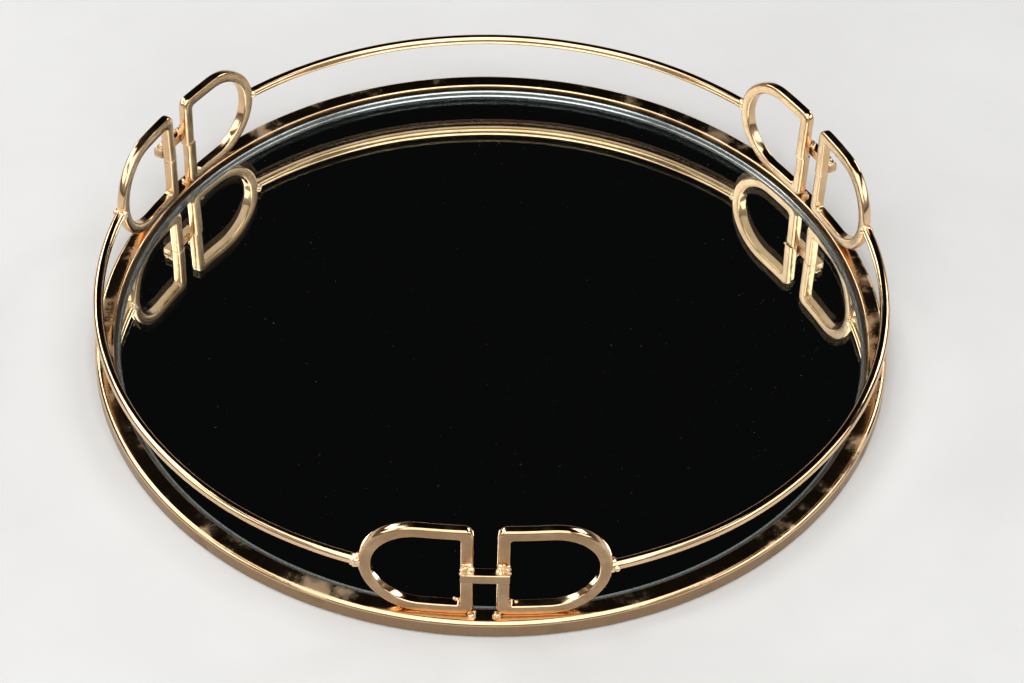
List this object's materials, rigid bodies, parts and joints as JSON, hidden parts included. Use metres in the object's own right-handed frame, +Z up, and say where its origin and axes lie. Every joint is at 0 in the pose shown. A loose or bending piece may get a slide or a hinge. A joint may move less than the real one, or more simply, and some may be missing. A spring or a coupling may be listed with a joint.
{
  "type": "dresser vanity tray",
  "caption": "Round gold mirror tray with a wire gallery rail carried by ornaments of paired D-shaped links.",
  "frame": {"origin": "on the resting plane, at the tray's axis", "axes": "+Z up; the front ornament is at -Y; +X to the right seen from the front"},
  "size_m": [0.3, 0.3, 0.0492],
  "materials": {
    "brushed_gold_rim": "brushed gold plating with a polished outer edge",
    "brushed_gold_links": "finely brushed gold plating with bright edges",
    "polished_gold_wire": "polished gold plating",
    "gold_braze": "bright lumpy braze under gold plating",
    "clear_glass": "clear polished float glass with a ground edge",
    "mirror_silver": "silvered",
    "floor_steel": "plain sheet steel",
    "foam_tape": "black double-sided foam tape",
    "black_felt": "short black felt"
  },
  "bodies": {
    "root": {"felt_pad": "black_felt", "floor_plate": "floor_steel", "mounting_tape": "foam_tape", "mirror_silvering": "mirror_silver", "mirror_glass": "clear_glass", "base_ring": "brushed_gold_rim", "front_link_left": "brushed_gold_links", "front_link_right": "brushed_gold_links", "front_crossbar": "brushed_gold_links", "front_seam_braze": "gold_braze", "front_rail_braze": "gold_braze", "front_crossbar_braze": "gold_braze", "front_foot_braze": "gold_braze", "rear_right_link_left": "brushed_gold_links", "rear_right_link_right": "brushed_gold_links", "rear_right_crossbar": "brushed_gold_links", "rear_right_seam_braze": "gold_braze", "rear_right_rail_braze": "gold_braze", "rear_right_crossbar_braze": "gold_braze", "rear_right_foot_braze": "gold_braze", "rear_left_link_left": "brushed_gold_links", "rear_left_link_right": "brushed_gold_links", "rear_left_crossbar": "brushed_gold_links", "rear_left_seam_braze": "gold_braze", "rear_left_rail_braze": "gold_braze", "rear_left_crossbar_braze": "gold_braze", "rear_left_foot_braze": "gold_braze", "rail_right": "polished_gold_wire", "rail_rear": "polished_gold_wire", "rail_left": "polished_gold_wire"}
  },
  "joints": []
}
